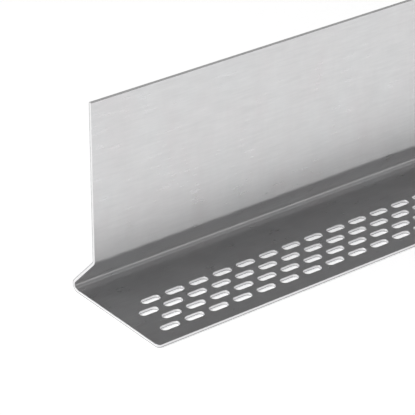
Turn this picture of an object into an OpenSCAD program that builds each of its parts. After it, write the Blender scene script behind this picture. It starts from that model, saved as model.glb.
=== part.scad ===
// Cladding vent strip: one sheet with rows of slots, folded twice.
// The slotted leg lies flat, the sheet turns back over a drip nose, rises along a
// sloping kick and ends in a plain upright.
// X runs along the strip, Y from the leg's front edge to the nose, Z is up.
// The origin is under the middle of the strip.

/* [Sheet] */
// Length of the strip
length = 300; // [100:1:1200]
// Thickness of the sheet
sheet_t = 1.2; // [0.7:0.05:2]
// Inside radius of both folds
bend_r = 1.5; // [0.6:0.1:3]
// Radius of the leg's two front corners
corner_r = 1.5; // [0.5:0.1:4]

/* [Section] */
// Depth of the strip, from the leg's front edge to the tip of the nose
leg_depth = 49.5; // [42:0.5:90]
// Height of the strip, from the leg's underside to the top of the upright
height = 76.5; // [40:0.5:150]
// Reach of the nose behind the upright
nose_reach = 12.5; // [8:0.1:20]
// Slope of the kick above the leg
kick_angle = 45.6; // [35:0.1:60]

/* [Slots] */
// Width of a slot
slot_w = 3.25; // [2:0.05:4]
// Length of a slot over its round ends
slot_len = 7.55; // [5:0.05:9]
// Distance between slots in a row
slot_pitch = 10.4; // [10:0.1:20]
// Number of rows
rows = 4; // [1:1:5]
// Distance between rows
row_gap = 6; // [4.5:0.1:7]
// Distance from the leg's front edge to the middle of the first row
front_margin = 8.1; // [4:0.1:10]
// Plain metal before the first slot, and at least as much after the last
end_margin = 7.2; // [3:0.1:20]

/* [Hidden] */
$fn = 48;

// Outside radius of the folds
fold_r = bend_r + sheet_t;

// Turn from level to square with the kick
kick_turn = 90 - kick_angle;

// Distance of the nose fold's centre from the front edge and the underside
nose_y = leg_depth - fold_r;
nose_z = fold_r;

// The same for the fold at the upright's foot, whose centre is behind the sheet
foot_y = leg_depth - nose_reach + bend_r;
foot_z = nose_z + (fold_r + bend_r + (nose_y - foot_y) * sin(kick_angle)) / cos(kick_angle);

// Straight stretches of the kick and the upright
kick_len = (nose_y - foot_y) * cos(kick_angle) + (foot_z - nose_z) * sin(kick_angle);
upright_len = height - foot_z;

// First and last places along the strip where a slot's middle may lie
first_slot = end_margin + slot_len / 2;
last_slot = length - first_slot;

// How far a cutter stands clear of the metal it cuts
clear = 1;

// One fold of the section: the part of a ring about the origin that lies between
// two directions, less than half a turn apart
module fold(from, to) {
    reach = 2 * fold_r;
    intersection() {
        difference() {
            circle(fold_r);
            circle(bend_r);
        }
        rotate(from)
            translate([-reach, 0])
                square([2 * reach, reach]);
        rotate(to)
            translate([-reach, -reach])
                square([2 * reach, reach]);
    }
}

// The folded sheet seen from its end, with the front edge at the left.
// Each fold carries the stretch of sheet that comes after it.
module section() {
    square([nose_y, sheet_t]);
    translate([nose_y, nose_z]) {
        fold(-90, kick_turn);
        rotate(kick_turn)
            translate([bend_r, 0]) {
                square([sheet_t, kick_len]);
                translate([fold_r, kick_len])
                    foot_and_upright();
            }
    }
}

// The upright and the fold at its foot, drawn from that fold's centre
module foot_and_upright() {
    fold(180 - kick_turn, 180);
    rotate(-kick_turn)
        translate([-fold_r, 0])
            square([sheet_t, upright_len]);
}

// A slot's outline, with its long way along X
module slot() {
    straight = slot_len - slot_w;
    square([straight, slot_w], center = true);
    for (side = [-1, 1])
        translate([side * straight / 2, 0])
            circle(slot_w / 2);
}

// All the slots as they lie on the leg: every second row is half a pitch further on
module slot_pattern() {
    for (row = [0 : rows - 1]) {
        start = first_slot + (row % 2) * slot_pitch / 2;
        for (x = [start : slot_pitch : last_slot])
            translate([x, front_margin + row * row_gap])
                slot();
    }
}

// What is cut from a square corner at the origin to leave it round
module corner_waste() {
    difference() {
        translate([-clear, -clear])
            square(corner_r + clear);
        translate([corner_r, corner_r])
            circle(corner_r);
    }
}

// The punched and folded strip
module vent_strip() {
    color("silver")
        translate([-length / 2, -leg_depth / 2, 0])
            difference() {
                rotate([90, 0, 90])
                    linear_extrude(length)
                        section();
                translate([0, 0, -clear])
                    linear_extrude(sheet_t + 2 * clear) {
                        slot_pattern();
                        corner_waste();
                        translate([length, 0])
                            mirror([1, 0])
                                corner_waste();
                    }
            }
}

vent_strip();
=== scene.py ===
"""Looks for the cladding vent strip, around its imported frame.

The strip is made as the real one is: a flat sheet with slots, whose sheared rims are
rounded, is folded along the section. X runs along the strip, Y from the leg's front
edge to the nose, Z is up, all in metres.
"""

import math

import bpy
from mathutils import Euler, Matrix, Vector
from mathutils.geometry import delaunay_2d_cdt


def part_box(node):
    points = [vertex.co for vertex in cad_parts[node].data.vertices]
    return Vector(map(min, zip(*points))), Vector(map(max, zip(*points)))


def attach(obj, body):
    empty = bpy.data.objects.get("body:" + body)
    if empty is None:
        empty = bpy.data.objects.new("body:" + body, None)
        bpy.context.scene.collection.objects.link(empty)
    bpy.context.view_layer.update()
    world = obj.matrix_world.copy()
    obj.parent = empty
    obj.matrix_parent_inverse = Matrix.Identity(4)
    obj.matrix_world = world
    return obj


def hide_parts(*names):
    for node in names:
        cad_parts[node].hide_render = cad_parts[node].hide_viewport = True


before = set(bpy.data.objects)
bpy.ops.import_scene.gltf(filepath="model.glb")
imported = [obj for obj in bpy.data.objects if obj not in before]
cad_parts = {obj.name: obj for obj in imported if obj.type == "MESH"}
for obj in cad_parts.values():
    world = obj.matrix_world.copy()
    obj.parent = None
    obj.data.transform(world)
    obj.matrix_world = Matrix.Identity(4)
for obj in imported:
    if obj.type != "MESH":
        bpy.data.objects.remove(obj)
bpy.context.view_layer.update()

# Sizes of the strip, as in the part's source
SHEET = 0.0012
BEND = 0.0015
CORNER = 0.0015
NOSE_REACH = 0.0125
KICK_SLOPE = math.radians(45.6)
SLOT_W = 0.00325
SLOT_LEN = 0.00755
SLOT_PITCH = 0.0104
ROWS = 4
ROW_GAP = 0.006
FRONT_MARGIN = 0.0081
END_MARGIN = 0.0072

# The strip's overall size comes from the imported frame
low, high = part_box("vent_strip")
LENGTH = high.x - low.x
DEPTH = high.y - low.y
HEIGHT = high.z - low.z

# Rims: rolled over where the punch goes in, and nearly sharp on the underside
ROLL_OVER = 0.00016
BURR = 0.00006
TOP_CORNER = 0.0003

# How finely the mesh follows the round stretches
FOLD_STEPS = 16
ARC_STEPS = 10
RIM_STEPS = 3
COLUMN = 0.006

# The camera, from a fit to the slots and edges in the photograph
CAMERA_AT = Vector((-0.54286, -0.55757, 0.40593))
CAMERA_HEADING = math.radians(-37.807)
CAMERA_PITCH = math.radians(61.938)
CAMERA_ROLL = math.radians(0.103)
CAMERA_LENS = 203.04
SENSOR = 36.0

# How far the floor glows for the camera and in what the metal mirrors
FLOOR_GLOW = 0.41

# The studio round the strip: white up to a low height, and dim from a greater one
HORIZON_LEVEL, HORIZON_TOP = 1.0, 0.05
CEILING_LEVEL, CEILING_START = 0.175, 0.36

# A wide soft light from the left
KEY_AT = (-2.46, 0.49, 3.12)
KEY_SIDE = 2.4
KEY_LEVEL = 0.55


def section_stretches():
    """The underside of the section from the front edge on: (length, turn) of each stretch."""
    fold = BEND + SHEET
    turn = math.pi / 2 - KICK_SLOPE
    nose_y = DEPTH - fold
    foot_y = DEPTH - NOSE_REACH + BEND
    rise = (fold + BEND + (nose_y - foot_y) * math.sin(KICK_SLOPE)) / math.cos(KICK_SLOPE)
    kick = (nose_y - foot_y) * math.cos(KICK_SLOPE) + rise * math.sin(KICK_SLOPE)
    upright = HEIGHT - fold - rise
    nose_turn = math.pi / 2 + turn
    return [(nose_y, 0), (fold * nose_turn, nose_turn), (kick, 0), (BEND * turn, -turn), (upright, 0)]


STRETCHES = section_stretches()
LEG, NOSE, KICK, FOOT, UPRIGHT = (length for length, turn in STRETCHES)
WIDTH = LEG + NOSE + KICK + FOOT + UPRIGHT


def fold_at(across):
    """Where the underside of the flat sheet goes: its (y, z) and heading, `across` metres from the edge."""
    y, z, heading = 0.0, 0.0, 0.0
    for length, turn in STRETCHES:
        part = min(across, length)
        if turn:
            radius = length / turn
            end = heading + part / radius
            y += radius * (math.sin(end) - math.sin(heading))
            z -= radius * (math.cos(end) - math.cos(heading))
            heading = end
        else:
            y += part * math.cos(heading)
            z += part * math.sin(heading)
        across -= part
        if across <= 0:
            break
    return y, z, heading


def folded(along, across, lift):
    """A point of the flat sheet, `lift` above its underside, once the sheet is folded."""
    y, z, heading = fold_at(across)
    y -= lift * math.sin(heading)
    z += lift * math.cos(heading)
    return Vector((along - LENGTH / 2, y - DEPTH / 2, z))


def folded_normal(across, out_along, out_across, out_up):
    """A direction given in the flat sheet, once the sheet is folded."""
    heading = fold_at(across)[2]
    y = out_across * math.cos(heading) - out_up * math.sin(heading)
    z = out_across * math.sin(heading) + out_up * math.cos(heading)
    return Vector((out_along, y, z)).normalized()


def spread(start, end, steps):
    """Evenly spaced places after start, up to and with end."""
    return [start + (end - start) * (k + 1) / steps for k in range(steps)]


def fold_lines():
    """Places across the sheet where the mesh has a line from end to end."""
    places = [LEG - 0.016, LEG - 0.008, LEG]
    at = LEG
    for length, steps in ((NOSE, FOLD_STEPS), (KICK, 4), (FOOT, FOLD_STEPS), (UPRIGHT, 10)):
        places += spread(at, at + length, steps)
        at += length
    return places[:-1]


def arc(cx, cy, radius, start, end, steps):
    """Points of an arc, each with its direction outwards from the centre."""
    points = []
    for k in range(steps + 1):
        a = start + (end - start) * k / steps
        out = (math.cos(a), math.sin(a))
        points.append((cx + radius * out[0], cy + radius * out[1], out))
    return points


def sheet_outline(inset):
    """The flat sheet's edge, `inset` metres in from it, with each point's outward direction."""
    quarter = math.pi / 2
    radius = CORNER - inset
    far = LENGTH - CORNER
    columns = spread(CORNER, far, round(LENGTH / COLUMN))[:-1]
    lines = fold_lines()
    points = arc(CORNER, CORNER, radius, 2 * quarter, 3 * quarter, 4)
    points += [(x, inset, (0, -1)) for x in columns]
    points += arc(far, CORNER, radius, 3 * quarter, 4 * quarter, 4)
    points += [(LENGTH - inset, y, (1, 0)) for y in lines]
    points += arc(LENGTH - TOP_CORNER, WIDTH - TOP_CORNER, TOP_CORNER - inset, 0, quarter, 4)
    points += [(x, WIDTH - inset, (0, 1)) for x in reversed(columns)]
    points += arc(TOP_CORNER, WIDTH - TOP_CORNER, TOP_CORNER - inset, quarter, 2 * quarter, 4)
    points += [(inset, y, (-1, 0)) for y in reversed(lines)]
    return points


def slot_outline(cx, cy, inset):
    """A slot's edge, `inset` metres into the metal, with each point's direction out of the metal."""
    radius = SLOT_W / 2 + inset
    half = (SLOT_LEN - SLOT_W) / 2
    quarter = math.pi / 2
    points = arc(cx + half, cy, radius, -quarter, quarter, ARC_STEPS)
    points += arc(cx - half, cy, radius, quarter, 3 * quarter, ARC_STEPS)
    return [(x, y, (-out[0], -out[1])) for x, y, out in reversed(points)]


def slot_centres():
    """Every second row is half a pitch further on, from the same plain margin."""
    first = END_MARGIN + SLOT_LEN / 2
    centres = []
    for row in range(ROWS):
        x = first + (row % 2) * SLOT_PITCH / 2
        while x <= LENGTH - first + 1e-9:
            centres.append((x, FRONT_MARGIN + row * ROW_GAP))
            x += SLOT_PITCH
    return centres


def rim_profile():
    """The rim from the sheet's top to its underside: (inset, lift, share out, share up)."""
    profile = []
    for radius, at, side in ((ROLL_OVER, SHEET - ROLL_OVER, 1), (BURR, BURR, -1)):
        turns = [math.pi / 2 * k / RIM_STEPS for k in range(RIM_STEPS + 1)]
        if side > 0:
            turns.reverse()
        for a in turns:
            out, up = math.cos(a), math.sin(a)
            profile.append((radius * (1 - out), at + side * radius * up, out, side * up))
    return profile


class SheetMesh:
    """Vertices, normals and faces of the folded sheet."""

    def __init__(self):
        self.points = []
        self.normals = []
        self.depths = []
        self.flat = []
        self.faces = []
        self.materials = []

    def add(self, along, across, lift, normal):
        self.points.append(folded(along, across, lift))
        self.normals.append(folded_normal(across, *normal))
        self.depths.append(1 - lift / SHEET)
        self.flat.append((along / LENGTH, across / LENGTH))
        return len(self.points) - 1

    def wall(self, outline):
        """The cut wall around one outline, under its rolled-over rim; returns its top and bottom rings."""
        rings = []
        for inset, lift, out, up in rim_profile():
            ring = []
            for x, y, side in outline(inset):
                ring.append(self.add(x, y, lift, (out * side[0], out * side[1], up)))
            rings.append(ring)
        for number, (upper, lower) in enumerate(zip(rings, rings[1:])):
            for k in range(len(upper)):
                j = (k + 1) % len(upper)
                self.faces.append((upper[k], lower[k], lower[j], upper[j]))
                self.materials.append(0 if number < RIM_STEPS - 1 else 1)
        return rings[0], rings[-1]

    def faces_between(self, flat, edges, loops, upper, lower):
        """Both faces of the sheet, triangulated between the outline, the slots and the fold lines."""
        scaled = [Vector((x * 1000, y * 1000)) for x, y in flat]
        points, _, triangles, origins, _, _ = delaunay_2d_cdt(scaled, edges, [], 0, 1e-6)
        index = [origin[0] for origin in origins]
        for triangle in triangles:
            a, b, c = (index[k] for k in triangle)
            slot = loops[a]
            if slot and slot == loops[b] == loops[c]:
                continue
            self.faces.append((upper[a], upper[b], upper[c]))
            self.faces.append((lower[c], lower[b], lower[a]))
            self.materials += [0, 0]


def strip_mesh():
    """The whole strip, punched flat and then folded."""
    mesh = SheetMesh()
    outlines = [sheet_outline]
    for cx, cy in slot_centres():
        outlines.append(lambda inset, cx=cx, cy=cy: slot_outline(cx, cy, inset))
    flat, loops, edges, upper, lower = [], [], [], [], []
    for number, outline in enumerate(outlines):
        top, bottom = mesh.wall(outline)
        start = len(flat)
        flat += [(x, y) for x, y, _ in outline(ROLL_OVER)]
        loops += [number] * len(top)
        edges += [(start + k, start + (k + 1) % len(top)) for k in range(len(top))]
        upper += top
        lower += bottom
    add_fold_lines(mesh, flat, loops, edges, upper, lower)
    mesh.faces_between(flat, edges, loops, upper, lower)
    return mesh


def add_fold_lines(mesh, flat, loops, edges, upper, lower):
    """Points along each fold line, in the columns of the sheet's edge."""
    far = LENGTH - CORNER
    columns = spread(CORNER, far, round(LENGTH / COLUMN))[:-1]
    ends = {(round(x, 7), round(y, 7)): k for k, (x, y) in enumerate(flat) if loops[k] == 0}
    for y in fold_lines():
        line = [ends[(round(ROLL_OVER, 7), round(y, 7))]]
        for x in columns:
            line.append(len(flat))
            flat.append((x, y))
            loops.append(0)
            upper.append(mesh.add(x, y, SHEET, (0, 0, 1)))
            lower.append(mesh.add(x, y, 0, (0, 0, -1)))
        line.append(ends[(round(LENGTH - ROLL_OVER, 7), round(y, 7))])
        edges += list(zip(line, line[1:]))


def make_strip():
    """The strip's object, with the exact normals of its flats, folds and rims."""
    built = strip_mesh()
    data = bpy.data.meshes.new("folded_strip")
    data.from_pydata(built.points, [], built.faces)
    data.materials.append(sheet_metal())
    data.materials.append(cut_metal())
    data.polygons.foreach_set("material_index", built.materials)
    data.polygons.foreach_set("use_smooth", [True] * len(data.polygons))
    depth = data.attributes.new("cut_depth", "FLOAT", "POINT")
    depth.data.foreach_set("value", built.depths)
    across = data.uv_layers.new(name="flat_sheet")
    across.data.foreach_set("uv", [c for k in data.loops for c in built.flat[k.vertex_index]])
    data.update()
    data.normals_split_custom_set_from_vertices(built.normals)
    strip = bpy.data.objects.new("folded_strip", data)
    bpy.context.scene.collection.objects.link(strip)
    return strip


class Shader:
    """A short way to write a node tree: nodes by kind, values by socket name."""

    def __init__(self, name):
        self.material = bpy.data.materials.new(name)
        self.material.use_nodes = True
        self.tree = self.material.node_tree
        self.tree.nodes.clear()

    def node(self, kind, inputs=None, **settings):
        made = self.tree.nodes.new("ShaderNode" + kind)
        for name, value in settings.items():
            setattr(made, name, value)
        for name, value in (inputs or {}).items():
            if isinstance(value, bpy.types.NodeSocket):
                self.tree.links.new(value, made.inputs[name])
            else:
                made.inputs[name].default_value = value
        return made

    def noise(self, stretch, detail, roughness=0.5):
        """Noise between 0 and 1, with `stretch` features a metre along X, Y and Z."""
        place = self.node("TexCoord").outputs["Object"]
        scaled = self.node("Mapping", {"Vector": place, "Scale": stretch}).outputs["Vector"]
        settings = {"Vector": scaled, "Scale": 1.0, "Detail": detail, "Roughness": roughness}
        return self.node("TexNoise", settings).outputs["Fac"]

    def math(self, operation, *values):
        made = self.node("Math", operation=operation)
        for socket, value in zip(made.inputs, values):
            if isinstance(value, bpy.types.NodeSocket):
                self.tree.links.new(value, socket)
            else:
                socket.default_value = value
        return made.outputs[0]

    def spread(self, value, low, high, to_low, to_high):
        """The value moved from one range to another, and kept inside it."""
        inputs = {"Value": value, "From Min": low, "From Max": high, "To Min": to_low, "To Max": to_high}
        return self.node("MapRange", inputs).outputs["Result"]

    def mix(self, factor, first, second):
        """A colour between two others."""
        made = self.node("Mix", data_type="RGBA")
        for name, value in (("Factor", factor), ("A", first), ("B", second)):
            socket = next(s for s in made.inputs if s.name == name and s.enabled)
            if isinstance(value, bpy.types.NodeSocket):
                self.tree.links.new(value, socket)
            else:
                socket.default_value = value
        return next(s for s in made.outputs if s.enabled)

    def finish(self, shader):
        output = self.node("OutputMaterial")
        self.tree.links.new(shader, output.inputs["Surface"])
        return self.material


def sheet_metal():
    """Rolled sheet: satin, with grain along the strip, a faint cloudy mottle and a slight wave."""
    shader = Shader("rolled_sheet")
    grain = shader.noise((90, 900, 900), 4, 0.6)
    clouds = shader.noise((70, 70, 45), 3)
    smudges = shader.noise((130, 130, 50), 4, 0.6)
    waves = shader.noise((90, 90, 90), 1)
    warmth = shader.spread(clouds, 0.38, 0.62, 0, 1)
    tint = shader.mix(warmth, (0.71, 0.715, 0.723, 1), (0.71, 0.694, 0.702, 1))
    patch = shader.spread(smudges, 0.3, 0.7, 0, 1)
    colour = shader.mix(patch, tint, (0.76, 0.76, 0.764, 1))
    lined = shader.spread(grain, 0.3, 0.7, 0, 0.5)
    colour = shader.mix(lined, colour, (0.66, 0.66, 0.664, 1))
    rough = shader.spread(grain, 0.25, 0.75, 0.26, 0.36)
    rough = shader.math("ADD", rough, shader.spread(patch, 0, 1, -0.02, 0.03))
    wave = shader.node("Bump", {"Height": waves, "Strength": 1.0, "Distance": 0.00003})
    bump = shader.node("Bump", {"Height": grain, "Strength": 0.3, "Distance": 0.00002,
                                "Normal": wave.outputs["Normal"]})
    tangent = shader.node("Tangent", direction_type="UV_MAP", uv_map="flat_sheet")
    inputs = {
        "Base Color": colour,
        "Metallic": 1.0,
        "Roughness": rough,
        "Anisotropic": 0.7,
        "Anisotropic Rotation": 0.25,
        "Tangent": tangent.outputs["Tangent"],
        "Normal": bump.outputs["Normal"],
    }
    return shader.finish(shader.node("BsdfPrincipled", inputs).outputs["BSDF"])


def cut_metal():
    """Sheared rims: a bright burnished band where the punch goes in, and a dull break below it, darker
    partly as the real fracture zone and partly as painted shade along the wall's lower edge.
    """
    shader = Shader("sheared_rim")
    lines = shader.noise((3500, 3500, 500), 3)
    depth = shader.node("Attribute", attribute_name="cut_depth").outputs["Fac"]
    ragged = shader.math("ADD", depth, shader.spread(lines, 0.3, 0.7, -0.08, 0.08))
    # Lower part of each cut wall: partly the real dull fracture zone, partly painted shade where the wall
    # meets what lies under it
    fracture_and_shade = shader.spread(ragged, 0.55, 0.75, 0, 1)
    bright = shader.mix(lines, (0.86, 0.86, 0.863, 1), (0.93, 0.93, 0.933, 1))
    # The dark colour here is the fracture zone's own dullness plus painted shade at the wall's foot
    colour = shader.mix(fracture_and_shade, bright, (0.62, 0.62, 0.624, 1))
    rough = shader.spread(fracture_and_shade, 0, 1, 0.6, 0.7)
    inputs = {"Base Color": colour, "Metallic": 1.0, "Roughness": rough}
    return shader.finish(shader.node("BsdfPrincipled", inputs).outputs["BSDF"])


def floor_material():
    """Pale floor that shows white to the camera and in the metal, and keeps the shadow."""
    shader = Shader("pale_floor")
    path = shader.node("LightPath")
    seen = shader.math("MAXIMUM", path.outputs["Is Camera Ray"], path.outputs["Is Glossy Ray"])
    seen = shader.math("MAXIMUM", seen, path.outputs["Is Transmission Ray"])
    level = shader.math("MULTIPLY", seen, FLOOR_GLOW)
    glow = shader.node("Emission", {"Color": (1, 1, 1, 1), "Strength": level})
    plain = shader.node("BsdfDiffuse", {"Color": (0.85, 0.85, 0.85, 1)})
    both = shader.node("AddShader")
    shader.tree.links.new(plain.outputs[0], both.inputs[0])
    shader.tree.links.new(glow.outputs[0], both.inputs[1])
    return shader.finish(both.outputs[0])


def make_floor():
    """A wide pale floor just under the strip."""
    side, drop = 4.0, 0.00005
    corners = [(-side, -side, -drop), (side, -side, -drop), (side, side, -drop), (-side, side, -drop)]
    data = bpy.data.meshes.new("floor")
    data.from_pydata(corners, [], [(0, 1, 2, 3)])
    data.materials.append(floor_material())
    floor = bpy.data.objects.new("floor", data)
    bpy.context.scene.collection.objects.link(floor)


def make_world():
    """White at the horizon and dim above it, as a studio is."""
    world = bpy.data.worlds.new("studio")
    bpy.context.scene.world = world
    world.use_nodes = True
    tree = world.node_tree
    tree.nodes.clear()
    place = tree.nodes.new("ShaderNodeTexCoord")
    split = tree.nodes.new("ShaderNodeSeparateXYZ")
    tree.links.new(place.outputs["Generated"], split.inputs["Vector"])
    level = tree.nodes.new("ShaderNodeMapRange")
    level.interpolation_type = "SMOOTHSTEP"
    level.inputs["From Min"].default_value = HORIZON_TOP
    level.inputs["From Max"].default_value = CEILING_START
    level.inputs["To Min"].default_value = HORIZON_LEVEL
    level.inputs["To Max"].default_value = CEILING_LEVEL
    tree.links.new(split.outputs["Z"], level.inputs["Value"])
    background = tree.nodes.new("ShaderNodeBackground")
    background.inputs["Color"].default_value = (1, 1, 1, 1)
    tree.links.new(level.outputs["Result"], background.inputs["Strength"])
    output = tree.nodes.new("ShaderNodeOutputWorld")
    tree.links.new(background.outputs["Background"], output.inputs["Surface"])


def make_softbox(name, at, side, level):
    """A square softbox aimed at the strip, which lights the floor below it to `level`."""
    light = bpy.data.lights.new(name, "AREA")
    light.shape = "SQUARE"
    light.size = side
    distance = Vector(at).length
    fall = Vector(at).z / distance
    light.energy = level * math.pi ** 2 * distance ** 2 / fall
    softbox = bpy.data.objects.new(name, light)
    softbox.location = at
    softbox.rotation_euler = (-Vector(at)).to_track_quat("-Z", "Y").to_euler()
    bpy.context.scene.collection.objects.link(softbox)


def make_camera():
    """The camera at the photograph's viewing angle."""
    data = bpy.data.cameras.new("camera")
    data.lens = CAMERA_LENS
    data.sensor_width = SENSOR
    data.clip_start = 0.01
    data.clip_end = 50
    camera = bpy.data.objects.new("camera", data)
    camera.location = CAMERA_AT
    turn = Euler((CAMERA_PITCH, 0, CAMERA_HEADING)).to_matrix()
    camera.rotation_euler = (turn @ Euler((0, 0, CAMERA_ROLL)).to_matrix()).to_euler()
    bpy.context.scene.collection.objects.link(camera)
    bpy.context.scene.camera = camera


strip = make_strip()
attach(strip, "root")
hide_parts("vent_strip")
make_floor()
make_world()
make_softbox("key_softbox", KEY_AT, KEY_SIDE, KEY_LEVEL)
make_camera()
bpy.context.scene.view_settings.view_transform = "Standard"
